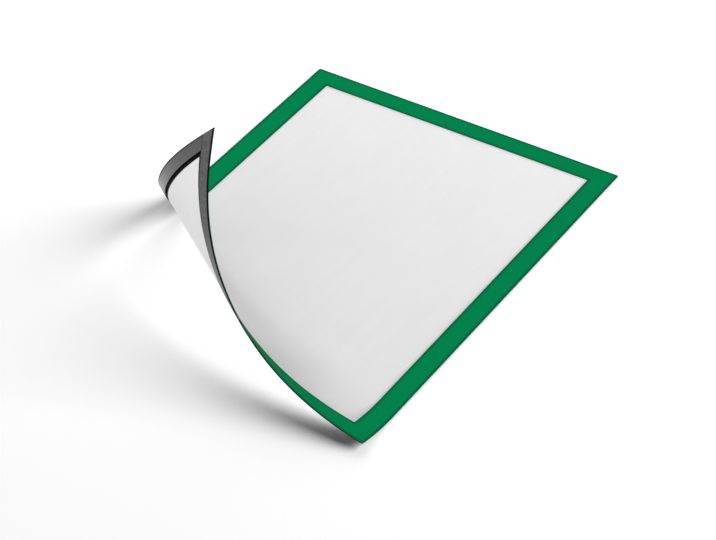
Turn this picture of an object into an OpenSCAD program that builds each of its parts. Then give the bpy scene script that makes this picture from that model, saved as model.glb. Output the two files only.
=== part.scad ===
// Magnetic display frame for one sheet of paper.
// A see-through film carries a coloured border film on its face and four magnetic strips on
// its back, each held by a strip of adhesive tape. The frame lies on its back, and one corner
// is peeled up and curled over the face.
// Sizes are in millimetres. X runs across the frame, Y along it and Z out of its face.

/* [Paper] */
// Width of the sheet of paper that the frame holds
paper_w = 210; // [180:1:260]
// Length of the sheet of paper that the frame holds
paper_h = 297; // [260:1:360]
// Room beside the paper on each side, between the strips
paper_play = 1; // [0.5:0.1:3]

/* [Border] */
// Width of the magnetic strips on the back
strip_w = 11.4; // [8:0.1:13]
// Distance from the frame's outer edges to the strips
strip_inset = 0.6; // [0.2:0.1:1.2]
// Width of the coloured border on the face
border_w = 15.2; // [14.5:0.1:20]
// Radius of the frame's four corners
corner_r = 0.5; // [0.5:0.1:3]
// Radius of the window's four corners
window_r = 0.8; // [0.4:0.1:3]

/* [Layers] */
// Thickness of the magnetic strips
magnet_t = 0.6; // [0.4:0.05:1.5]
// Thickness of the adhesive tapes
tape_t = 0.1; // [0.06:0.01:0.2]
// Thickness of the see-through film
window_t = 0.2; // [0.1:0.01:0.5]
// Thickness of the coloured border film
border_t = 0.2; // [0.1:0.01:0.5]
// Distance from the edges of a strip to the edges of its tape
tape_inset = 0.5; // [0.2:0.1:1.5]

/* [Fits] */
// Gap between two bonded layers
bond_gap = 0.01; // [0.005:0.005:0.03]
// Gap between the end of a side strip and the strip that it meets
butt_gap = 0.2; // [0.1:0.05:0.5]

/* [Curl] */
// Distance from the lower right corner, up the edge, to where the bend starts
fold_right = 36.6; // [25:0.1:50]
// Distance from the lower left corner, up the edge, to where the bend starts
fold_left = 175.9; // [150:0.1:200]
// Distance from the middle of the bend's start to the point where all its creases would meet
fan_reach = 437; // [360:1:2000]
// Number of fine creases that make up the bend
creases = 68; // [16:1:96]
// Degrees that the whole curl would turn at the rate of each of six even places along it
turn_rates = [132, 178, 154, 136, 85, -10]; // [-30:1:220]

/* [Hidden] */

// Straight pieces that make up each rounded corner
corner_steps = 4;
// How far the window's cutter stands out of both faces of the border film
overrun = 0.5;

// Outer size of the frame, from the paper outwards
sheet_w = paper_w + 2 * (paper_play + strip_w + strip_inset);
sheet_h = paper_h + 2 * (paper_play + strip_w + strip_inset);
sheet_t = border_t + window_t + tape_t + magnet_t;
low = -[sheet_w, sheet_h] / 2;
high = [sheet_w, sheet_h] / 2;
strip_low = low + [strip_inset, strip_inset];
strip_high = high - [strip_inset, strip_inset];
strip_r = max(corner_r - strip_inset, 0);

// Depth of each layer's outer side below the face of the frame
window_depth = border_t;
tape_depth = window_depth + window_t;
magnet_depth = tape_depth + tape_t;

// Outlines of the pieces on the flat sheet, as [lower left, upper right, radii of the corners],
// with the radii in the order lower left, lower right, upper right, upper left
sheet_box = [low, high, [corner_r, corner_r, corner_r, corner_r]];
window_box = [low + [border_w, border_w], high - [border_w, border_w],
    [window_r, window_r, window_r, window_r]];
bottom_box = [strip_low, [strip_high.x, strip_low.y + strip_w], [strip_r, strip_r, 0, 0]];
top_box = [[strip_low.x, strip_high.y - strip_w], strip_high, [0, 0, strip_r, strip_r]];
side_low = strip_low.y + strip_w + butt_gap;
side_high = strip_high.y - strip_w - butt_gap;
left_box = [[strip_low.x, side_low], [strip_low.x + strip_w, side_high], [0, 0, 0, 0]];
right_box = [[strip_high.x - strip_w, side_low], [strip_high.x, side_high], [0, 0, 0, 0]];

// The bend starts along a straight line from the right edge to the left edge, and turns about
// straight creases that fan out from one point far beyond the left edge
fold_start = [high.x, low.y + fold_right];
fold_end = [low.x, low.y + fold_left];
fold_mid = (fold_start + fold_end) / 2;
fold_dir = (fold_end - fold_start) / norm(fold_end - fold_start);
out_dir = [-fold_dir.y, fold_dir.x];

// Place of a crease, measured from the middle of the bend's start, that runs through a point
function fan_place(p) =
    let (r = p - fold_mid)
    r * out_dir / (1 - r * fold_dir / fan_reach);
function crease_place(k) = fan_place(low) * (k + 1 / 2) / creases;

// Degrees that the sheet turns at crease k
rate_table = [for (i = [0:len(turn_rates) - 1]) [i / (len(turn_rates) - 1), turn_rates[i]]];
function crease_angle(k) = lookup((k + 1 / 2) / creases, rate_table) / creases;

function moved(v) = [[1, 0, 0, v.x], [0, 1, 0, v.y], [0, 0, 1, v.z], [0, 0, 0, 1]];
function turned_x(a) = [[1, 0, 0, 0], [0, cos(a), -sin(a), 0], [0, sin(a), cos(a), 0], [0, 0, 0, 1]];
function turned_z(a) = [[cos(a), -sin(a), 0, 0], [sin(a), cos(a), 0, 0], [0, 0, 1, 0], [0, 0, 0, 1]];

// Turn by a share of crease k's angle about its line, which lies in the face of the frame
function crease_turn(k, turn_share) =
    let (foot = fold_mid + crease_place(k) * out_dir)
    let (along = fold_dir - crease_place(k) / fan_reach * out_dir)
    let (heading = atan2(along.y, along.x))
    let (pivot = [foot.x, foot.y, sheet_t])
    moved(pivot) * turned_z(heading) * turned_x(turn_share * crease_angle(k))
    * turned_z(-heading) * moved(-pivot);

// Flap k is the flat strip of sheet between creases k - 1 and k, and flap 0 is the flat part
function flap_frames(k) =
    k == 0 ? [moved([0, 0, 0])]
    : let (before = flap_frames(k - 1)) concat(before, [before[k - 1] * crease_turn(k - 1, 1)]);
flaps = flap_frames(creases);
mitres = [for (k = [0:creases - 1]) flaps[k] * crease_turn(k, 1 / 2)];

// How far a point of the flat sheet lies past crease k, towards the curled corner
function past(p, k) =
    let (r = p - fold_mid)
    r * out_dir - crease_place(k) * (1 - r * fold_dir / fan_reach);
function flap_of(p) = len([for (k = [0:creases - 1]) if (past(p, k) > 0) k]);

// Corner i of an outline, rounded where its radius isn't zero
function corner(box, i) =
    let (r = box[2][i])
    let (sx = i == 0 || i == 3 ? -1 : 1)
    let (sy = i < 2 ? -1 : 1)
    let (tip = [sx < 0 ? box[0].x : box[1].x, sy < 0 ? box[0].y : box[1].y])
    r == 0 ? [tip]
    : [for (step = [0:corner_steps])
        let (a = 180 + 90 * (i + step / corner_steps))
        tip - r * [sx, sy] + r * [cos(a), sin(a)]];
function outline(box) = [for (i = [0:3]) each corner(box, i)];

// Points along the edge from p to q, each with its flap, or with the half way number between
// two flaps where it lies on their crease
function edge_marks(p, q) =
    let (from = flap_of(p))
    let (to = flap_of(q))
    let (crossed = to > from ? [for (k = [from:1:to - 1]) k] : [for (k = [from - 1:-1:to]) k])
    concat([[p, from]], from == to ? []
    : [for (k = crossed)
        let (a = past(p, k))
        let (b = past(q, k))
        [p + (q - p) * a / (a - b), k + 1 / 2]]);
function marks(points) =
    [for (i = [0:len(points) - 1]) each edge_marks(points[i], points[(i + 1) % len(points)])];

// Place in space of a mark at a depth below the face: a mark on a crease leans half way
// between its two flaps, so that every flap keeps its thickness
function placed(mark, depth) =
    let (p = mark[0])
    let (k = floor(mark[1]))
    let (on_crease = mark[1] > k)
    let (lean = on_crease ? cos(crease_angle(k) / 2) : 1)
    let (frame = on_crease ? mitres[k] : flaps[k])
    let (v = frame * [p.x, p.y, sheet_t - depth / lean, 1])
    [v.x, v.y, v.z];

function reversed(list) = [for (i = [len(list) - 1:-1:0]) list[i]];

// The origin is on the ground under the middle of the whole frame, curl included
film_points = [for (m = marks(outline(sheet_box))) each [placed(m, 0), placed(m, tape_depth)]];
strip_points = [for (box = [top_box, bottom_box, left_box, right_box])
    for (m = marks(outline(box))) placed(m, sheet_t)];
edge_points = concat(film_points, strip_points);
edge_x = [for (p = edge_points) p.x];
edge_y = [for (p = edge_points) p.y];
middle = [min(edge_x) + max(edge_x), min(edge_y) + max(edge_y), 0] / 2;

// A layer that follows the bend, between two depths below the face
module bent_panel(box, face_depth, back_depth) {
    loop = marks(outline(box));
    n = len(loop);
    flap_faces = [for (k = [0:creases])
        let (face = [for (i = [0:n - 1]) if (abs(loop[i][1] - k) <= 1 / 2) i])
        if (len(face) > 2) face];
    walls = [for (i = [0:n - 1]) [i, (i + 1) % n, n + (i + 1) % n, n + i]];
    fronts = [for (face = flap_faces) reversed(face)];
    backs = [for (face = flap_faces) [for (i = face) n + i]];
    translate(-middle)
        polyhedron(
            points = concat([for (m = loop) placed(m, face_depth)], [for (m = loop) placed(m, back_depth)]),
            faces = concat(walls, fronts, backs));
}

// A layer that lies wholly on the flat part
module flat_panel(box, face_depth, back_depth) {
    translate([0, 0, sheet_t - back_depth] - middle)
        linear_extrude(height = back_depth - face_depth)
            polygon(outline(box));
}

// Outline of the tape behind a strip
function tape_box(box) =
    [box[0] + [tape_inset, tape_inset], box[1] - [tape_inset, tape_inset],
    [for (r = box[2]) max(r - tape_inset, 0)]];

module border_film() {
    color([0, 0.53, 0.31])
        difference() {
            bent_panel(sheet_box, 0, border_t);
            bent_panel(window_box, -overrun, border_t + overrun);
        }
}

module window_film() {
    color([0.9, 0.92, 0.92])
        bent_panel(sheet_box, window_depth + bond_gap, window_depth + window_t);
}

module bent_tape(box) {
    color([0.92, 0.9, 0.84])
        bent_panel(tape_box(box), tape_depth + bond_gap, tape_depth + tape_t);
}

module bent_strip(box) {
    color([0.2, 0.2, 0.21])
        bent_panel(box, magnet_depth + bond_gap, magnet_depth + magnet_t);
}

module tape_top() {
    color([0.92, 0.9, 0.84])
        flat_panel(tape_box(top_box), tape_depth + bond_gap, tape_depth + tape_t);
}

module tape_bottom() {
    bent_tape(bottom_box);
}

module tape_left() {
    bent_tape(left_box);
}

module tape_right() {
    bent_tape(right_box);
}

module magnet_strip_top() {
    color([0.2, 0.2, 0.21])
        flat_panel(top_box, magnet_depth + bond_gap, magnet_depth + magnet_t);
}

module magnet_strip_bottom() {
    bent_strip(bottom_box);
}

module magnet_strip_left() {
    bent_strip(left_box);
}

module magnet_strip_right() {
    bent_strip(right_box);
}

border_film();
window_film();
tape_top();
tape_bottom();
tape_left();
tape_right();
magnet_strip_top();
magnet_strip_bottom();
magnet_strip_left();
magnet_strip_right();
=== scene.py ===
"""Magnetic display frame, lying on its back with one corner peeled up and curled over.

The frame is one thin laminate: a clear window film, a green border film on its face, and four
magnetic rubber strips on its back, each held by a strip of adhesive tape. Each layer is drawn
flat, given its thickness, its rounded corners and its eased edges, and then bent as one
developable sheet about a fan of straight creases, so that no layer stretches.
"""

import logging
import math
from abc import ABC, abstractmethod
from dataclasses import dataclass, field, replace
from enum import Enum
from typing import Optional, Union

import bmesh
import bpy
from mathutils import Matrix, Vector


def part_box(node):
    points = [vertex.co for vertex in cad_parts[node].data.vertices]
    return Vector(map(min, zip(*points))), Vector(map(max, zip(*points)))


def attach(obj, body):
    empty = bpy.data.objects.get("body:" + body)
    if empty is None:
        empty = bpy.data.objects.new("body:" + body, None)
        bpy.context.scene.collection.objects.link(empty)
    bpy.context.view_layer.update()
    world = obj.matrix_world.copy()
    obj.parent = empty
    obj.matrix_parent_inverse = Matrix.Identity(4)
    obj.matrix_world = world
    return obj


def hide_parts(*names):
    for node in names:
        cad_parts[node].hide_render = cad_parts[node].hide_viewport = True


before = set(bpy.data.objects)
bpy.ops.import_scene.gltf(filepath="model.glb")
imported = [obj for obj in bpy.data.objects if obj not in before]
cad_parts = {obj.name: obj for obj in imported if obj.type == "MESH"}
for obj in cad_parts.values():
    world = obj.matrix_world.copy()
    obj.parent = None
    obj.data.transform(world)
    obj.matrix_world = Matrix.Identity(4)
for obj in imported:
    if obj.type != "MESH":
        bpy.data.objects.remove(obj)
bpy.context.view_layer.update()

LOG = logging.getLogger("display_frame")
MM = 0.001
ROOT = "root"
FLAT_MAP = "flat_pattern"


class Side(Enum):
    """A side of the frame as it lies with its face up, with the name used in the nodes."""

    TOP = "top"
    BOTTOM = "bottom"
    LEFT = "left"
    RIGHT = "right"

    @property
    def is_level(self) -> bool:
        """True for the two sides that run across the frame."""
        return self in (Side.TOP, Side.BOTTOM)


class Skin(Enum):
    """Which of a layer's surfaces a face belongs to. The value is its material index."""

    FACE = 0
    BACK = 1
    EDGE = 2


@dataclass(frozen=True)
class Laminate:
    """Sizes of the flat frame, in metres, worked out from the paper it holds.

    The origin of the flat sheet is its centre, with x across and y along the frame.
    """

    paper_width: float = 210 * MM
    paper_height: float = 297 * MM
    paper_play: float = 1 * MM
    strip_width: float = 11.4 * MM
    strip_inset: float = 0.6 * MM
    border_width: float = 15.2 * MM
    corner_radius: float = 0.5 * MM
    window_radius: float = 0.8 * MM
    border_thickness: float = 0.2 * MM
    window_thickness: float = 0.2 * MM
    tape_thickness: float = 0.1 * MM
    magnet_thickness: float = 0.6 * MM
    tape_inset: float = 0.5 * MM
    bond_gap: float = 0.01 * MM
    butt_gap: float = 0.2 * MM

    @property
    def width(self) -> float:
        """Outer width."""
        return self.paper_width + 2 * (self.paper_play + self.strip_width + self.strip_inset)

    @property
    def height(self) -> float:
        """Outer height."""
        return self.paper_height + 2 * (self.paper_play + self.strip_width + self.strip_inset)

    @property
    def thickness(self) -> float:
        """Thickness of the whole laminate."""
        return (self.border_thickness + self.window_thickness
                + self.tape_thickness + self.magnet_thickness)

    @property
    def window_depth(self) -> float:
        """Depth of the window film's outer side below the face."""
        return self.border_thickness

    @property
    def tape_depth(self) -> float:
        """Depth of the tapes' outer side below the face."""
        return self.window_depth + self.window_thickness

    @property
    def magnet_depth(self) -> float:
        """Depth of the strips' outer side below the face."""
        return self.tape_depth + self.tape_thickness

    def bonded(self, depth: float, thickness: float) -> tuple[float, float]:
        """Depths of the two sides of a layer that is bonded on at a depth below the face."""
        return depth + self.bond_gap, depth + thickness


@dataclass(frozen=True)
class Panel:
    """A rectangle on the flat sheet with its corner radii, and the window cut in it if it has one.

    The radii run lower left, lower right, upper right, upper left.
    """

    low: tuple[float, float]
    high: tuple[float, float]
    radii: tuple[float, float, float, float] = (0.0, 0.0, 0.0, 0.0)
    hole: Optional["Panel"] = None

    def inset(self, distance: float) -> "Panel":
        """The same panel drawn in by a distance on every side.

        Args:
            distance: how far each edge moves inwards, in metres.

        Returns:
            The smaller panel, its radii reduced to match.
        """
        low = (self.low[0] + distance, self.low[1] + distance)
        high = (self.high[0] - distance, self.high[1] - distance)
        radii = tuple(max(radius - distance, 0.0) for radius in self.radii)
        return Panel(low, high, radii)

    def inside(self, x: "Signal", y: "Signal") -> "Signal":
        """How far a place lies within the nearest edge of a centred panel, below 0 outside it."""
        return (self.high[0] - abs(x)).least(self.high[1] - abs(y))

    def outline(self, steps: int) -> list[tuple[float, float]]:
        """Points round the panel, anticlockwise from the lower left corner.

        Args:
            steps: straight pieces in each rounded corner. A square corner repeats no point.

        Returns:
            The points, as (x, y) in metres.
        """
        points: list[tuple[float, float]] = []
        ends = ((self.low[0], self.high[0]), (self.low[1], self.high[1]))
        for index, radius in enumerate(self.radii):
            at_right = index in (1, 2)
            at_top = index in (2, 3)
            tip = (ends[0][at_right], ends[1][at_top])
            if radius == 0.0:
                points.append(tip)
                continue
            middle_x = tip[0] + (-radius if at_right else radius)
            middle_y = tip[1] + (-radius if at_top else radius)
            for step in range(steps + 1):
                angle = math.pi + (index + step / steps) * math.pi / 2
                reach_x, reach_y = radius * math.cos(angle), radius * math.sin(angle)
                points.append((middle_x + reach_x, middle_y + reach_y))
        return points


@dataclass(frozen=True)
class Pattern:
    """The flat pattern of every layer, cut from one laminate."""

    laminate: Laminate

    def sheet(self) -> Panel:
        """The whole sheet, as the window film has it."""
        x, y = self.laminate.width / 2, self.laminate.height / 2
        return Panel((-x, -y), (x, y), (self.laminate.corner_radius,) * 4)

    def window(self) -> Panel:
        """The see-through opening in the border."""
        opening = self.sheet().inset(self.laminate.border_width)
        return replace(opening, radii=(self.laminate.window_radius,) * 4)

    def border(self) -> Panel:
        """The border film: the whole sheet with the window cut out."""
        return replace(self.sheet(), hole=self.window())

    def strip(self, side: Side) -> Panel:
        """One magnetic strip. The top and bottom strips run the full width.

        Args:
            side: the side of the frame that it lies along.

        Returns:
            The strip's panel.
        """
        band = self.sheet().inset(self.laminate.strip_inset)
        x, y = band.high
        width, radius = self.laminate.strip_width, band.radii[0]
        end = y - width - self.laminate.butt_gap
        panels = {
            Side.BOTTOM: Panel((-x, -y), (x, width - y), (radius, radius, 0.0, 0.0)),
            Side.TOP: Panel((-x, y - width), (x, y), (0.0, 0.0, radius, radius)),
            Side.LEFT: Panel((-x, -end), (width - x, end)),
            Side.RIGHT: Panel((x - width, -end), (x, end)),
        }
        return panels[side]

    def tape(self, side: Side) -> Panel:
        """The tape behind a strip, a little narrower than it."""
        return self.strip(side).inset(self.laminate.tape_inset)


@dataclass(frozen=True)
class Curl:
    """The bend of the peeled corner: a fan of straight creases on the flat sheet.

    The bend starts on a line from the right edge to the left edge. The creases turn about
    lines that all meet far beyond the left edge, so the sheet curls tighter on that side. The
    turning rates, at even places from the first line to the corner, are the degrees that the
    whole curl would turn at that rate.
    """

    laminate: Laminate
    fold_right: float = 36.6 * MM
    fold_left: float = 175.9 * MM
    fan_reach: float = 437 * MM
    turn_rates: tuple[float, ...] = (132.0, 178.0, 154.0, 136.0, 85.0, -10.0)
    steps: int = 960
    slices: int = 120
    frames: list[Matrix] = field(default_factory=list, compare=False)

    def __post_init__(self) -> None:
        """Works out the sheet's turn after each fine crease."""
        self.frames.append(Matrix.Identity(4))
        for step in range(self.steps):
            self.frames.append(self.frames[-1] @ self._crease(step))

    @property
    def start(self) -> Vector:
        """Where the bend's first line leaves the right edge."""
        return Vector((self.laminate.width / 2, self.fold_right - self.laminate.height / 2))

    @property
    def middle(self) -> Vector:
        """The middle of the bend's first line."""
        end = Vector((-self.laminate.width / 2, self.fold_left - self.laminate.height / 2))
        return (self.start + end) / 2

    @property
    def along(self) -> Vector:
        """Unit direction of the bend's first line, from right to left."""
        return (self.middle - self.start).normalized()

    @property
    def outward(self) -> Vector:
        """Unit direction across the first line, towards the peeled corner."""
        return Vector((-self.along.y, self.along.x))

    @property
    def reach(self) -> float:
        """Place in the fan of the peeled corner itself."""
        return self.fan_place(-self.laminate.width / 2, -self.laminate.height / 2)

    def fan_place(self, x: float, y: float) -> float:
        """How far past the first line a point's crease runs, at that line's middle."""
        offset = Vector((x, y)) - self.middle
        return offset.dot(self.outward) / (1 - offset.dot(self.along) / self.fan_reach)

    def _line(self, place: float) -> tuple[Vector, Vector]:
        """A point on a crease and the crease's direction, both on the flat sheet."""
        direction = self.along - self.outward * (place / self.fan_reach)
        return self.middle + self.outward * place, direction.normalized()

    def _rate(self, share: float) -> float:
        """Turning rate at one place of the bend.

        Args:
            share: how much of the way it lies from the first line to the corner.

        Returns:
            The radians that the whole curl would turn at that rate.
        """
        last = len(self.turn_rates) - 1
        index = min(int(share * last), last - 1)
        blend = share * last - index
        degrees = self.turn_rates[index] * (1 - blend) + self.turn_rates[index + 1] * blend
        return math.radians(degrees)

    def _crease(self, step: int) -> Matrix:
        """The small turn about one fine crease, which lies in the face of the sheet.

        Args:
            step: the crease's number, counted from the first line.

        Returns:
            The turn.
        """
        share = (step + 0.5) / self.steps
        foot, direction = self._line(share * self.reach)
        pivot = Matrix.Translation((foot.x, foot.y, self.laminate.thickness))
        turn = Matrix.Rotation(self._rate(share) / self.steps, 4, direction.to_3d())
        return pivot @ turn @ pivot.inverted()

    def slice_planes(self) -> list[tuple[Vector, Vector]]:
        """Upright planes that cut a flat layer along the creases.

        Returns:
            (point, normal) of each plane, on the flat sheet.
        """
        planes = []
        for index in range(self.slices):
            foot, direction = self._line(self.reach * index / self.slices)
            planes.append((foot.to_3d(), Vector((-direction.y, direction.x, 0.0))))
        return planes

    def bent(self, x: float, y: float, z: float) -> Vector:
        """Where a point of the flat sheet lies once the corner is curled.

        Args:
            x: across the flat sheet.
            y: along the flat sheet.
            z: height over the back of the flat sheet.

        Returns:
            The point in space.
        """
        share = self.fan_place(x, y) / self.reach
        step = round(min(max(share, 0.0), 1.0) * self.steps)
        return self.frames[step] @ Vector((x, y, z))


Feed = Union["Signal", float, tuple]
Color = tuple[float, float, float]


@dataclass(frozen=True)
class Signal:
    """A shader socket's output, which takes part in Python sums and adds their Math nodes."""

    graph: "ShaderGraph"
    socket: bpy.types.NodeSocket

    def __add__(self, other: Feed) -> "Signal":
        """Sum."""
        return self.graph.math("ADD", self, other)

    __radd__ = __add__

    def __sub__(self, other: Feed) -> "Signal":
        """Difference."""
        return self.graph.math("SUBTRACT", self, other)

    def __rsub__(self, other: Feed) -> "Signal":
        """Difference from a number."""
        return self.graph.math("SUBTRACT", other, self)

    def __mul__(self, other: Feed) -> "Signal":
        """Product."""
        return self.graph.math("MULTIPLY", self, other)

    __rmul__ = __mul__

    def __truediv__(self, other: Feed) -> "Signal":
        """Quotient."""
        return self.graph.math("DIVIDE", self, other)

    def __rtruediv__(self, other: Feed) -> "Signal":
        """Quotient of a number."""
        return self.graph.math("DIVIDE", other, self)

    def __rpow__(self, other: Feed) -> "Signal":
        """Power of a number."""
        return self.graph.math("POWER", other, self)

    def __abs__(self) -> "Signal":
        """Size without sign."""
        return self.graph.math("ABSOLUTE", self)

    def least(self, other: Feed) -> "Signal":
        """The lower of this and another value."""
        return self.graph.math("MINIMUM", self, other)

    def most(self, other: Feed) -> "Signal":
        """The higher of this and another value."""
        return self.graph.math("MAXIMUM", self, other)

    def ramp(self, start: float, end: float) -> "Signal":
        """Rises smoothly from 0 at start to 1 at end, or falls where end is the lower."""
        return self.graph.node(
            "ShaderNodeMapRange",
            {"interpolation_type": "SMOOTHSTEP", "clamp": True},
            {"Value": self, "From Min": start, "From Max": end})

    def beside(self, output: str) -> "Signal":
        """Another output of the same node."""
        return Signal(self.graph, self.socket.node.outputs[output])


@dataclass(frozen=True)
class Speckle:
    """Soft random variation over a surface.

    Its size is that of its largest blotches, in metres, and its detail is the number of finer
    octaves. Its stretch says how many times finer it is along each axis.
    """

    size: float
    detail: float = 2.0
    stretch: tuple[float, float, float] = (1.0, 1.0, 1.0)


@dataclass(frozen=True)
class Relief:
    """Fine relief of a surface: its depth, in metres, and the share of it that shows."""

    depth: float
    strength: float


class ShaderGraph:
    """The node tree of one material or world."""

    MIX_FACTOR, MIX_A, MIX_B, MIX_RESULT = 0, 6, 7, 2
    SPECKLE_ROUGHNESS = 0.55

    def __init__(self, owner: Union[bpy.types.Material, bpy.types.World]) -> None:
        """Empties the owner's node tree and starts a new one.

        Args:
            owner: the material or world that the nodes belong to.
        """
        owner.use_nodes = True
        self.tree = owner.node_tree
        self.tree.nodes.clear()

    def node(self, kind: str, settings: Optional[dict] = None, inputs: Optional[dict] = None,
             output: Union[int, str] = 0) -> Signal:
        """Adds a node and takes one of its outputs.

        Args:
            kind: the node's type name.
            settings: its properties, which are set first.
            inputs: value or Signal for each input, by the socket's name or number.
            output: name or number of the output.

        Returns:
            That output.
        """
        made = self.tree.nodes.new(kind)
        for name, value in (settings or {}).items():
            setattr(made, name, value)
        for key, value in (inputs or {}).items():
            self.feed(made.inputs[key], value)
        return Signal(self, made.outputs[output])

    def feed(self, socket: bpy.types.NodeSocket, value: Feed) -> None:
        """Links a Signal to a socket, or sets its plain value.

        Args:
            socket: the input socket.
            value: the Signal, number or tuple that it takes.
        """
        if isinstance(value, Signal):
            self.tree.links.new(value.socket, socket)
        elif isinstance(value, tuple) and len(value) == 3 and len(socket.default_value) == 4:
            socket.default_value = (*value, 1.0)
        else:
            socket.default_value = value

    def math(self, operation: str, *values: Feed) -> Signal:
        """One Math node with the given operands, Signals or numbers."""
        return self.node("ShaderNodeMath", {"operation": operation}, dict(enumerate(values)))

    def vector_math(self, operation: str, *values: Feed) -> Signal:
        """One Vector Math node with a vector result, operands as for math."""
        return self.node("ShaderNodeVectorMath", {"operation": operation}, dict(enumerate(values)))

    def mix_color(self, factor: Feed, first: Feed, second: Feed) -> Signal:
        """Mixes two colours, by a factor of 0 for the first and 1 for the second."""
        return self.node(
            "ShaderNodeMix",
            {"data_type": "RGBA"},
            {self.MIX_FACTOR: factor, self.MIX_A: first, self.MIX_B: second},
            self.MIX_RESULT)

    def mix_shader(self, factor: Feed, first: Signal, second: Signal) -> Signal:
        """Mixes two shaders, by a factor of 0 for the first and 1 for the second."""
        return self.node("ShaderNodeMixShader", None, {0: factor, 1: first, 2: second})

    def flat_place(self) -> tuple[Signal, Signal, Signal]:
        """The point of the flat pattern that a surface point was cut from.

        Returns:
            The place as a vector, its x and its y, in metres from the centre of the sheet.
        """
        place = self.node("ShaderNodeUVMap", {"uv_map": FLAT_MAP})
        across = self.node("ShaderNodeSeparateXYZ", None, {"Vector": place})
        return place, across, across.beside("Y")

    def noise(self, place: Signal, speckle: Speckle) -> Signal:
        """Soft random values about 0.5, within 0 and 1, at a place in metres."""
        return self.node("ShaderNodeTexNoise", {"noise_dimensions": "3D"}, {
            "Vector": self.vector_math("MULTIPLY", place, speckle.stretch),
            "Scale": 1 / speckle.size,
            "Detail": speckle.detail,
            "Roughness": self.SPECKLE_ROUGHNESS,
        })

    def bump(self, height: Signal, relief: Relief) -> Signal:
        """The normal of a fine relief, whose height runs from 0 to 1."""
        return self.node("ShaderNodeBump", None, {
            "Height": height, "Distance": relief.depth, "Strength": relief.strength})

    def grey(self, tone: Signal) -> Signal:
        """The same tone in all three colours."""
        return self.node("ShaderNodeCombineColor", None, {"Red": tone, "Green": tone, "Blue": tone})

    def principled(self, inputs: dict) -> Signal:
        """A Principled shader with the given sockets set."""
        return self.node("ShaderNodeBsdfPrincipled", None, inputs)

    def clear(self, tint: Color) -> Signal:
        """A shader that lets everything straight through, with a tint."""
        return self.node("ShaderNodeBsdfTransparent", None, {"Color": tint})

    def translucent(self, color: Color) -> Signal:
        """A shader that scatters light on to its far side."""
        return self.node("ShaderNodeBsdfTranslucent", None, {"Color": color})

    def finish(self, shader: Signal, output: str = "ShaderNodeOutputMaterial") -> None:
        """Sends a shader to the tree's output node."""
        self.tree.links.new(shader.socket, self.tree.nodes.new(output).inputs["Surface"])


@dataclass(frozen=True)
class Finish(ABC):
    """A material: its name and how its nodes are made."""

    name: str

    @abstractmethod
    def dress(self, graph: ShaderGraph) -> Signal:
        """Makes the nodes.

        Args:
            graph: the empty graph.

        Returns:
            The surface shader.
        """

    def material(self) -> bpy.types.Material:
        """Makes the material on the first call, and shares it after that.

        Returns:
            The material.
        """
        made = bpy.data.materials.get(self.name)
        if made is None:
            made = bpy.data.materials.new(self.name)
            graph = ShaderGraph(made)
            graph.finish(self.dress(graph))
        return made


@dataclass(frozen=True)
class BorderFace(Finish):
    """Satin green plastic film, darker along its cut edges.

    The edge fade says how far from a cut edge the dark starts, and how near to it it is full.
    """

    pattern: Pattern
    color: Color = (0.0013, 0.234, 0.079)
    edge_color: Color = (0.002, 0.12, 0.046)
    edge_fade: tuple[float, float] = (2.6 * MM, 0.4 * MM)
    blotch: Speckle = Speckle(26 * MM, 3.0)
    mottle: Speckle = Speckle(2.4 * MM, 3.0)
    grain: Speckle = Speckle(0.5 * MM)
    tone: float = 0.86
    blotch_tone: float = 0.1
    mottle_tone: float = 0.1
    grain_tone: float = 0.08
    roughness: float = 0.41
    blotch_roughness: float = 0.1
    edge_roughness: float = 0.1
    diffuse_roughness: float = 0.2
    ior: float = 1.02
    relief: Relief = Relief(0.006 * MM, 0.35)

    def dress(self, graph: ShaderGraph) -> Signal:
        """Makes the green with faint blotches, fine grain and darker edges.

        Args:
            graph: the empty graph.

        Returns:
            The surface shader.
        """
        place, x, y = graph.flat_place()
        from_outside = self.pattern.sheet().inside(x, y)
        from_window = 0 - self.pattern.window().inside(x, y)
        edge = from_outside.least(from_window).ramp(*self.edge_fade)
        blotches = graph.noise(place, self.blotch)
        mottle = graph.noise(place, self.mottle)
        grain = graph.noise(place, self.grain)
        tone = self.tone + blotches * self.blotch_tone + mottle * self.mottle_tone
        tone = tone + grain * self.grain_tone
        roughness = self.roughness + blotches * self.blotch_roughness
        green = graph.vector_math("MULTIPLY", graph.grey(tone), self.color)
        return graph.principled({
            "Base Color": graph.mix_color(edge, green, self.edge_color),
            "Roughness": roughness + edge * self.edge_roughness,
            "Diffuse Roughness": self.diffuse_roughness,
            "IOR": self.ior,
            "Normal": graph.bump(grain, self.relief),
        })


@dataclass(frozen=True)
class Speckled(Finish):
    """A finish of two colours, mixed by one speckle that also varies its roughness and relief.

    Where it has a span, the mix runs from the first colour to the second over that part of the
    speckle's values.
    """

    darker: Color
    lighter: Color
    speckle: Speckle
    roughness: float
    speckle_roughness: float
    span: Optional[tuple[float, float]] = None
    ior: float = 1.5
    gloss: float = 0.5
    relief: Optional[Relief] = None

    def dress(self, graph: ShaderGraph) -> Signal:
        """Makes the speckle and what it varies.

        Args:
            graph: the empty graph.

        Returns:
            The surface shader.
        """
        place, _, _ = graph.flat_place()
        speckles = graph.noise(place, self.speckle)
        mix = speckles.ramp(*self.span) if self.span else speckles
        inputs = {
            "Base Color": graph.mix_color(mix, self.darker, self.lighter),
            "Roughness": self.roughness + speckles * self.speckle_roughness,
            "IOR": self.ior,
            "Specular IOR Level": self.gloss,
        }
        if self.relief:
            inputs["Normal"] = graph.bump(speckles, self.relief)
        return graph.principled(inputs)


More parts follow.
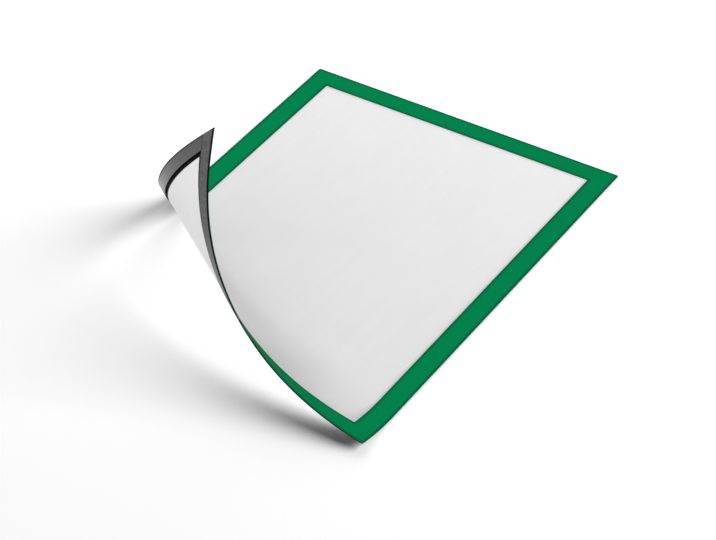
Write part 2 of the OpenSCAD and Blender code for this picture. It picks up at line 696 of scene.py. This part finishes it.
@dataclass(frozen=True)
class FilmCut(Speckled):
    """Cut edge of a film: a dull dark green, with a fine grain from the knife."""

    darker: Color = (0.001, 0.055, 0.023)
    lighter: Color = (0.002, 0.11, 0.044)
    speckle: Speckle = Speckle(0.4 * MM, 3.0)
    roughness: float = 0.6
    speckle_roughness: float = -0.1
    ior: float = 1.1
    relief: Optional[Relief] = Relief(0.01 * MM, 0.4)


@dataclass(frozen=True)
class BorderBack(Speckled):
    """Black underside of the border film, smooth, with slight variation of its gloss."""

    darker: Color = (0.0012, 0.0012, 0.0013)
    lighter: Color = (0.0035, 0.0035, 0.0037)
    speckle: Speckle = Speckle(18 * MM)
    roughness: float = 0.42
    speckle_roughness: float = 0.12
    gloss: float = 0.02


@dataclass(frozen=True)
class StripCut(Speckled):
    """Slit edge of the magnetic rubber, a dull black with a coarse grain."""

    darker: Color = (0.003, 0.003, 0.003)
    lighter: Color = (0.012, 0.012, 0.012)
    speckle: Speckle = Speckle(0.3 * MM, 3.0)
    roughness: float = 0.75
    speckle_roughness: float = -0.1
    gloss: float = 0.12
    relief: Optional[Relief] = Relief(0.03 * MM, 0.5)


@dataclass(frozen=True)
class TapePale(Speckled):
    """Pale transfer tape, milky, with faint air bubbles pressed into it."""

    darker: Color = (0.62, 0.6, 0.53)
    lighter: Color = (0.74, 0.72, 0.66)
    speckle: Speckle = Speckle(2.5 * MM, 4.0)
    span: Optional[tuple[float, float]] = (0.4, 0.65)
    roughness: float = 0.35
    speckle_roughness: float = 0.2
    relief: Optional[Relief] = Relief(0.02 * MM, 0.3)


@dataclass(frozen=True)
class WindowClear(Finish):
    """One side of the matt clear film.

    The film lets the light through, but blurs what lies behind it to an even pale grey, and hides
    it wholly near the border. Its tone darkens towards the peeled corner, by a share for each
    metre across and along the sheet, as painted shade. The tone stays below the palest. Where it
    is bonded under the border the matt side is wetted out, so there it is clear.
    """

    pattern: Pattern
    tone: float
    # painted shade: how much the tone falls for each metre across and along the sheet
    painted_shade_slope: tuple[float, float] = (0.0, 0.0)
    body: float = 0.81
    palest: float = 1.2
    tint: Color = (0.985, 0.987, 0.987)
    haze: float = 0.9
    slant_haze: float = 0.5
    margin: tuple[float, float] = (4.0 * MM, 1.5 * MM)
    lap: float = 0.2 * MM
    forward: float = 0.4
    light_loss: float = 0.02
    least_facing: float = 0.05
    blotch: Speckle = Speckle(45 * MM)
    streak: Speckle = Speckle(7 * MM, 3.0, (1.0, 0.12, 1.0))
    grain: Speckle = Speckle(0.35 * MM)
    blotch_tone: float = 0.04
    streak_tone: float = 0.05
    roughness: float = 0.34
    streak_roughness: float = 0.16
    ior: float = 1.15
    relief: Relief = Relief(0.004 * MM, 0.25)

    def dress(self, graph: ShaderGraph) -> Signal:
        """Makes the film as it is seen, and as the light passes it.

        Args:
            graph: the empty graph.

        Returns:
            The surface shader.
        """
        place, x, y = graph.flat_place()
        inside = self.pattern.window().inside(x, y)
        free = inside.ramp(-self.lap, 0.0)
        margin = inside.ramp(*self.margin)
        slant = graph.node("ShaderNodeLayerWeight", output="Facing")
        path = graph.node("ShaderNodeLightPath")
        haze = self._haze(graph, place, x, y)
        opaque = free * (self.haze + (slant * self.slant_haze).most(margin) * (1 - self.haze))
        seen = graph.mix_shader(opaque, graph.clear(self.tint), haze)
        loss = 1 - (1 - self.light_loss) ** (1 / (1 - slant).most(self.least_facing))
        lit = graph.mix_shader(loss, graph.clear((1.0, 1.0, 1.0)), haze)
        with_sky = graph.mix_shader(path.beside("Is Diffuse Ray"), seen, lit)
        return graph.mix_shader(path.beside("Is Shadow Ray"), with_sky, lit)

    def _haze(self, graph: ShaderGraph, place: Signal, x: Signal, y: Signal) -> Signal:
        """The milky body of the film, which scatters a part of its light forwards.

        Args:
            graph: the film's graph.
            place: the place on the flat sheet.
            x: how far across the sheet it is.
            y: how far along the sheet it is.

        Returns:
            The shader of the film's body.
        """
        blotches = graph.noise(place, self.blotch)
        streaks = graph.noise(place, self.streak)
        grain = graph.noise(place, self.grain)
        tone = self.tone + (blotches - 0.5) * self.blotch_tone + (streaks - 0.5) * self.streak_tone
        # painted shade: the tone falls towards the peeled corner
        tone = tone + x * self.painted_shade_slope[0] + y * self.painted_shade_slope[1]
        back_scatter = graph.principled({
            "Base Color": graph.grey(tone * self.body),
            "Roughness": self.roughness + streaks * self.streak_roughness,
            "IOR": self.ior,
            "Normal": graph.bump(grain, self.relief),
        })
        black = graph.translucent((0.0, 0.0, 0.0))
        pale = graph.translucent((self.body * self.palest,) * 3)
        forward_scatter = graph.mix_shader(tone / self.palest, black, pale)
        return graph.mix_shader(self.forward, back_scatter, forward_scatter)


@dataclass(frozen=True)
class StripBack(Finish):
    """Calendered magnetic rubber: dark grey, with a soft sheen and a dull line at its outer edge.

    Its tone lies between its darkest and its palest grey. Its inner rise is how much of that range
    the tone gains from its outer edge to its inner one. The dull line has a width, and a core, a
    share of that width, in which it is full.
    """

    pattern: Pattern
    lines: Speckle
    darkest: float
    palest: float
    gloss: float
    sheen: float
    edge_width: float
    edge_dulling: float
    inner_rise: float
    edge_core: float = 0.25
    mottle: Speckle = Speckle(2.4 * MM, 4.0)
    mottle_span: tuple[float, float] = (0.38, 0.64)
    grain: Speckle = Speckle(0.25 * MM, 3.0)
    least_shade: float = -0.15
    mottle_shade: float = 0.7
    grain_shade: float = 0.2
    line_shade: float = 0.4
    mottle_relief: float = 0.5
    grain_relief: float = 0.2
    line_relief: float = 0.3
    roughness: float = 0.22
    mottle_roughness: float = 0.2
    sheen_roughness: float = 0.3
    relief: Relief = Relief(0.1 * MM, 0.6)
    dull_color: Color = (0.015, 0.015, 0.015)
    dull_roughness: float = 0.7
    dull_gloss: float = 0.02

    def dress(self, graph: ShaderGraph) -> Signal:
        """Makes the rubber with its grain and the faint lines that the rollers leave.

        Args:
            graph: the empty graph.

        Returns:
            The surface shader.
        """
        place, x, y = graph.flat_place()
        lines = graph.noise(place, self.lines)
        mottle = graph.noise(place, self.mottle)
        grain = graph.noise(place, self.grain)
        laminate = self.pattern.laminate
        from_outside = self.pattern.sheet().inside(x, y) - laminate.strip_inset
        edge = from_outside.ramp(self.edge_width, self.edge_width * self.edge_core)
        across = from_outside / laminate.strip_width
        shade = mottle.ramp(*self.mottle_span) * self.mottle_shade + grain * self.grain_shade
        shade = shade + lines * self.line_shade
        shade = shade + (across - 0.5) * self.inner_rise + self.least_shade
        relief = mottle * self.mottle_relief + grain * self.grain_relief + lines * self.line_relief
        rubber = graph.principled({
            "Base Color": graph.mix_color(shade, (self.darkest,) * 3, (self.palest,) * 3),
            "Roughness": self.roughness + mottle * self.mottle_roughness,
            "Specular IOR Level": self.gloss,
            "Sheen Weight": self.sheen,
            "Sheen Roughness": self.sheen_roughness,
            "Normal": graph.bump(relief, self.relief),
        })
        dulled = graph.principled({
            "Base Color": self.dull_color,
            "Roughness": self.dull_roughness,
            "Specular IOR Level": self.dull_gloss,
        })
        return graph.mix_shader(edge * self.edge_dulling, rubber, dulled)


@dataclass(frozen=True)
class Ground(Finish):
    """White studio floor, seen as pure white where it is lit, and a little less to other rays."""

    seen: Color = (1.09, 1.09, 1.09)
    bounced: Color = (0.9, 0.9, 0.9)

    def dress(self, graph: ShaderGraph) -> Signal:
        """Makes a plain matt white."""
        color = graph.mix_color(Studio.white_ray(graph), self.bounced, self.seen)
        return graph.node("ShaderNodeBsdfDiffuse", None, {"Color": color})


@dataclass(frozen=True)
class LayerBuilder:
    """Makes a bent layer's mesh from its flat panel.

    Its origin is where the centre of the flat sheet's back lies in the frame of the model.
    """

    curl: Curl
    origin: Vector
    corner_steps: int = 6
    rim_steps: int = 2
    rim_angle: float = math.radians(60)
    rim_profile: float = 0.5
    flat_normal: float = 0.9
    grid: float = 18 * MM
    weld: float = 0.0001 * MM

    def build(self, name: str, panel: Panel, depths: tuple[float, float], easing: float,
              finishes: tuple[Finish, Finish, Finish]) -> bpy.types.Object:
        """Makes one layer.

        Args:
            name: the piece's name.
            panel: its flat panel.
            depths: depth of its outer and inner side below the face of the frame.
            easing: width of the small round on its edges.
            finishes: materials of its outer side, its back and its cut edges.

        Returns:
            The new object.
        """
        mesh = bmesh.new()
        self._lay_flat(mesh, panel, depths)
        self._ease_edges(mesh, easing)
        self._cut(mesh)
        self._mark_skins(mesh)
        self._keep_flat_places(mesh)
        for vertex in mesh.verts:
            vertex.co = self.curl.bent(*vertex.co) + self.origin
        data = bpy.data.meshes.new(name)
        mesh.to_mesh(data)
        mesh.free()
        data.shade_smooth()
        made = bpy.data.objects.new(name, data)
        bpy.context.scene.collection.objects.link(made)
        for finish in finishes:
            data.materials.append(finish.material())
        weighting = made.modifiers.new("even_shading", "WEIGHTED_NORMAL")
        weighting.keep_sharp = False
        return made

    def _lay_flat(self, mesh: bmesh.types.BMesh, panel: Panel, depths: tuple[float, float]) -> None:
        """Draws the panel flat and gives it its thickness.

        Args:
            mesh: the empty mesh.
            panel: the flat panel.
            depths: depth of its outer and inner side below the face of the frame.
        """
        top = self.curl.laminate.thickness - depths[0]
        outer = [mesh.verts.new((x, y, top)) for x, y in panel.outline(self.corner_steps)]
        count = len(outer)
        if panel.hole is None:
            mesh.faces.new(outer)
        else:
            inner = [mesh.verts.new((x, y, top)) for x, y in panel.hole.outline(self.corner_steps)]
            for index in range(count):
                after = (index + 1) % count
                mesh.faces.new((outer[index], outer[after], inner[after], inner[index]))
        made = bmesh.ops.extrude_face_region(mesh, geom=mesh.faces[:])
        lower = [item for item in made["geom"] if isinstance(item, bmesh.types.BMVert)]
        bmesh.ops.translate(mesh, verts=lower, vec=(0.0, 0.0, depths[0] - depths[1]))
        bmesh.ops.recalc_face_normals(mesh, faces=mesh.faces[:])

    def _ease_edges(self, mesh: bmesh.types.BMesh, easing: float) -> None:
        """Rounds the rims between the flat sides and the cut edges."""
        rims = [edge for edge in mesh.edges if edge.calc_face_angle(0.0) > self.rim_angle
                and abs(edge.verts[0].co.z - edge.verts[1].co.z) < self.weld]
        bmesh.ops.bevel(mesh, geom=rims, offset=easing, segments=self.rim_steps,
                        profile=self.rim_profile, affect="EDGES")

    def _cut(self, mesh: bmesh.types.BMesh) -> None:
        """Cuts the flat layer along the creases, and by a coarse grid for even faces."""
        for foot, normal in self.curl.slice_planes() + self._grid_planes():
            bmesh.ops.bisect_plane(mesh, geom=mesh.verts[:] + mesh.edges[:] + mesh.faces[:],
                                   dist=self.weld, plane_co=foot, plane_no=normal)

    def _grid_planes(self) -> list[tuple[Vector, Vector]]:
        """Upright planes square to the sheet's edges.

        Returns:
            (point, normal) of each plane, on the flat sheet.
        """
        width, height = self.curl.laminate.width, self.curl.laminate.height
        planes = []
        for size, axis in ((width, Vector((1, 0, 0))), (height, Vector((0, 1, 0)))):
            count = round(size / self.grid)
            planes += [(axis * (size * (index / count - 0.5)), axis) for index in range(1, count)]
        return planes

    def _mark_skins(self, mesh: bmesh.types.BMesh) -> None:
        """Gives each face the material of its side of the layer.

        Args:
            mesh: the flat layer.
        """
        for face in mesh.faces:
            skin = Skin.EDGE
            if abs(face.normal.z) > self.flat_normal:
                skin = Skin.FACE if face.normal.z > 0 else Skin.BACK
            face.material_index = skin.value

    @staticmethod
    def _keep_flat_places(mesh: bmesh.types.BMesh) -> None:
        """Writes each corner's place on the flat pattern into a map, before the sheet is bent.

        Args:
            mesh: the flat layer.
        """
        layer = mesh.loops.layers.uv.new(FLAT_MAP)
        for face in mesh.faces:
            for loop in face.loops:
                loop[layer].uv = loop.vert.co.xy


@dataclass(frozen=True)
class SubAssembly(ABC):
    """A group of pieces that are made alike. Their easing is the small round on their edges."""

    builder: LayerBuilder
    pattern: Pattern
    easing: float

    @abstractmethod
    def build(self) -> list[bpy.types.Object]:
        """Makes the pieces.

        Returns:
            The new objects.
        """

    @staticmethod
    def settle(piece: bpy.types.Object, node: str, slot: str) -> bpy.types.Object:
        """Ties a piece to the model.

        Args:
            piece: the piece, which rides on the one body.
            node: the node that it stands for.
            slot: the record's material slot for the piece; not used.

        Returns:
            The same piece.
        """
        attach(piece, ROOT)
        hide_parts(node)
        return piece


@dataclass(frozen=True)
class BorderFilm(SubAssembly):
    """The green border on the face."""

    easing: float = 0.05 * MM

    def build(self) -> list[bpy.types.Object]:
        """Makes the border film.

        Returns:
            The one new object.
        """
        green = BorderFace("green_border_film", self.pattern)
        black = BorderBack("black_film_back")
        cut = FilmCut("cut_border_film")
        piece = self.builder.build(
            "green_border", self.pattern.border(), (0.0, self.pattern.laminate.border_thickness),
            self.easing, (green, black, cut))
        return [self.settle(piece, "border_film", "border_film")]


@dataclass(frozen=True)
class WindowFilm(SubAssembly):
    """The clear film that covers the paper and carries everything else."""

    easing: float = 0.04 * MM

    def build(self) -> list[bpy.types.Object]:
        """Makes the window film.

        Returns:
            The one new object.
        """
        # the matt face carries painted shade that darkens it towards the peeled corner
        matt = WindowClear("matt_film_face", self.pattern, tone=0.922, painted_shade_slope=(0.25, 0.4))
        smooth = WindowClear("smooth_film_back", self.pattern, tone=0.955)
        cut = FilmCut("cut_clear_film")
        laminate = self.pattern.laminate
        piece = self.builder.build(
            "clear_window", self.pattern.sheet(),
            laminate.bonded(laminate.window_depth, laminate.window_thickness),
            self.easing, (matt, smooth, cut))
        return [self.settle(piece, "window_film", "clear_film")]


@dataclass(frozen=True)
class MagneticStrips(SubAssembly):
    """The four magnetic strips on the back, whose roller lines run along them."""

    easing: float = 0.12 * MM
    level_lines: Speckle = Speckle(0.8 * MM, 3.0, (0.02, 1.0, 1.0))
    upright_lines: Speckle = Speckle(0.8 * MM, 3.0, (1.0, 0.02, 1.0))

    def build(self) -> list[bpy.types.Object]:
        """Makes the strips.

        Returns:
            One strip for each side of the frame.
        """
        # the level and upright strips are one rubber; their different tones and gloss are painted
        # light and shade, the level ones painted paler and duller, the upright ones darker and
        # glossier
        level = StripBack(
            "magnetic_rubber_level", self.pattern, self.level_lines, darkest=0.03, palest=0.1,
            gloss=0.1, sheen=0.0, edge_width=0.5 * MM, edge_dulling=0.6, inner_rise=-0.3)
        upright = StripBack(
            "magnetic_rubber_upright", self.pattern, self.upright_lines, darkest=0.001,
            palest=0.024, gloss=0.3, sheen=0.2, edge_width=1.9 * MM, edge_dulling=0.95,
            inner_rise=0.5)
        cut = StripCut("cut_magnetic_rubber")
        laminate = self.pattern.laminate
        depths = laminate.bonded(laminate.magnet_depth, laminate.magnet_thickness)
        pieces = []
        for side in Side:
            back = level if side.is_level else upright
            piece = self.builder.build(
                f"magnetic_strip_{side.value}", self.pattern.strip(side), depths, self.easing,
                (cut, back, cut))
            pieces.append(self.settle(piece, f"magnet_strip_{side.value}", "magnetic_rubber"))
        return pieces


@dataclass(frozen=True)
class AdhesiveTapes(SubAssembly):
    """The four tapes between the window film and the strips."""

    easing: float = 0.02 * MM

    def build(self) -> list[bpy.types.Object]:
        """Makes the tapes.

        Returns:
            One tape for each side of the frame.
        """
        pale = TapePale("pale_transfer_tape")
        laminate = self.pattern.laminate
        depths = laminate.bonded(laminate.tape_depth, laminate.tape_thickness)
        pieces = []
        for side in Side:
            piece = self.builder.build(
                f"adhesive_tape_{side.value}", self.pattern.tape(side), depths, self.easing,
                (pale, pale, pale))
            pieces.append(self.settle(piece, f"tape_{side.value}", "adhesive"))
        return pieces


class Reach(Enum):
    """What a lamp lights, with the name of the collection that says so."""

    FLOOR = "floor_alone"
    FRAME = "all_but_the_floor"

    def collection(self, floor: bpy.types.Object) -> bpy.types.Collection:
        """The collection that ties a lamp to what it lights, made on the first call.

        Args:
            floor: the studio floor.

        Returns:
            The collection, in which the floor is the only thing lit, or the only thing left out.
        """
        made = bpy.data.collections.get(self.value)
        if made is None:
            made = bpy.data.collections.new(self.value)
            made.objects.link(floor)
            state = "INCLUDE" if self is Reach.FLOOR else "EXCLUDE"
            made.collection_objects[0].light_linking.link_state = state
        return made


@dataclass(frozen=True)
class Lamp:
    """A round soft lamp that faces the frame.

    Its azimuth runs from +X towards +Y, in degrees as its other angles are. Its spread is the
    angle from its middle to its rim as the frame sees it. Its share is what it adds to the level
    of a white surface that lies flat, where 1 is white.
    """

    name: str
    reach: Reach
    azimuth: float
    elevation: float
    distance: float
    spread: float
    share: float

    def hang(self, floor: bpy.types.Object) -> bpy.types.Object:
        """Adds the lamp to the scene.

        Args:
            floor: the studio floor, which each lamp lights or leaves out.

        Returns:
            The lamp.
        """
        angles = (self.elevation, self.azimuth, self.spread)
        height, turn, spread = (math.radians(angle) for angle in angles)
        data = bpy.data.lights.new(self.name, "AREA")
        data.shape = "DISK"
        data.size = 2 * self.distance * math.tan(spread)
        level_light = self.share * (math.pi * self.distance / math.cos(spread)) ** 2
        data.energy = level_light / math.sin(height)
        made = bpy.data.objects.new(self.name, data)
        level = math.cos(height)
        towards = Vector((level * math.cos(turn), level * math.sin(turn), math.sin(height)))
        made.rotation_mode = "QUATERNION"
        made.rotation_quaternion = towards.to_track_quat("Z", "Y")
        made.location = towards * self.distance
        made.visible_camera = False
        made.light_linking.receiver_collection = self.reach.collection(floor)
        bpy.context.scene.collection.objects.link(made)
        return made


@dataclass(frozen=True)
class Studio:
    """The floor, the lamps, the white surroundings and the photograph's camera.

    Each lamp's first numbers are its azimuth, its elevation and its distance. The camera looks at
    its aim from a distance. Its azimuth runs from -Y towards +X, in degrees as its other angles
    are, and its lens is in millimetres.
    """

    ground_size: float = 24.0
    sky_share: float = 0.068
    lamps: tuple[Lamp, ...] = (
        Lamp("floor_key_lamp", Reach.FLOOR, 25.0, 34.0, 7.06, spread=24.0, share=0.647),
        Lamp("floor_back_lamp", Reach.FLOOR, 120.4, 33.7, 1.13, spread=30.6, share=0.305),
        Lamp("left_lamp", Reach.FRAME, 158.0, 41.0, 3.0, spread=6.0, share=0.37),
        Lamp("front_lamp", Reach.FRAME, 265.0, 52.0, 3.0, spread=22.0, share=0.3),
        Lamp("right_lamp", Reach.FRAME, 20.0, 35.0, 3.0, spread=22.0, share=0.12),
        Lamp("top_lamp", Reach.FRAME, 0.0, 89.0, 2.0, spread=60.0, share=0.14),
    )
    aim: tuple[float, float, float] = (24.55 * MM, -16.82 * MM, 1.25 * MM)
    distance: float = 1.9197
    azimuth: float = 31.97
    elevation: float = 38.45
    roll: float = 0.093
    lens: float = 150.9
    farthest_seen: float = 100.0

    @staticmethod
    def white_ray(graph: ShaderGraph) -> Signal:
        """Tells which rays show the surroundings to the camera.

        Args:
            graph: the graph that asks.

        Returns:
            1 for a ray that comes straight, mirrored or through something clear, 0 for the rest.
        """
        straight = graph.node("ShaderNodeLightPath")
        mirrored = straight.beside("Is Glossy Ray")
        return straight.most(mirrored).most(straight.beside("Is Transmission Ray"))

    def build(self) -> None:
        """Sets up the whole studio."""
        floor = self._ground()
        self._surroundings()
        for lamp in self.lamps:
            lamp.hang(floor)
        self._camera()
        bpy.context.scene.view_settings.view_transform = "Standard"

    def _ground(self) -> bpy.types.Object:
        """Lays the floor that the frame lies on.

        Returns:
            The floor.
        """
        data = bpy.data.meshes.new("studio_floor")
        half = self.ground_size / 2
        corners = [(-half, -half, 0), (half, -half, 0), (half, half, 0), (-half, half, 0)]
        data.from_pydata(corners, [], [(0, 1, 2, 3)])
        floor = bpy.data.objects.new("studio_floor", data)
        data.materials.append(Ground("studio_white").material())
        bpy.context.scene.collection.objects.link(floor)
        return floor

    def _surroundings(self) -> None:
        """Makes the world: white to look at, softer as a light."""
        world = bpy.data.worlds.new("studio_sky")
        bpy.context.scene.world = world
        graph = ShaderGraph(world)
        strength = self.sky_share + self.white_ray(graph) * (1 - self.sky_share)
        sky = graph.node("ShaderNodeBackground", None, {
            "Color": (1.0, 1.0, 1.0), "Strength": strength})
        graph.finish(sky, "ShaderNodeOutputWorld")

    def _camera(self) -> None:
        """Puts the camera where the photograph was taken from."""
        data = bpy.data.cameras.new("camera")
        data.sensor_fit = "HORIZONTAL"
        data.lens = self.lens
        data.clip_end = self.farthest_seen
        camera = bpy.data.objects.new("camera", data)
        turn, height = math.radians(self.azimuth), math.radians(self.elevation)
        level = math.cos(height)
        away = Vector((level * math.sin(turn), -level * math.cos(turn), math.sin(height)))
        roll = Matrix.Rotation(math.radians(self.roll), 3, "Z")
        facing = away.to_track_quat("Z", "Y").to_matrix() @ roll
        place = Vector(self.aim) + away * self.distance
        camera.matrix_world = Matrix.Translation(place) @ facing.to_4x4()
        bpy.context.scene.collection.objects.link(camera)
        bpy.context.scene.camera = camera


def sheet_origin(laminate: Laminate) -> Vector:
    """Where the flat sheet's centre lies in the model, read from the strip that lies wholly flat.

    Args:
        laminate: the flat sizes.

    Returns:
        The place of the centre of the flat sheet's back.
    """
    low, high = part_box("magnet_strip_top")
    top = high[1] + laminate.strip_inset
    return Vector(((low[0] + high[0]) / 2, top - laminate.height / 2, low[2]))


def main() -> None:
    """Builds the pieces in order, then the studio round them."""
    logging.basicConfig(level=logging.INFO, format="%(message)s")
    laminate = Laminate()
    pattern = Pattern(laminate)
    builder = LayerBuilder(Curl(laminate), sheet_origin(laminate))
    for assembly in (BorderFilm, WindowFilm, AdhesiveTapes, MagneticStrips):
        for piece in assembly(builder, pattern).build():
            LOG.info("%s: %d faces", piece.name, len(piece.data.polygons))
    Studio().build()


if __name__ == "__main__":
    main()
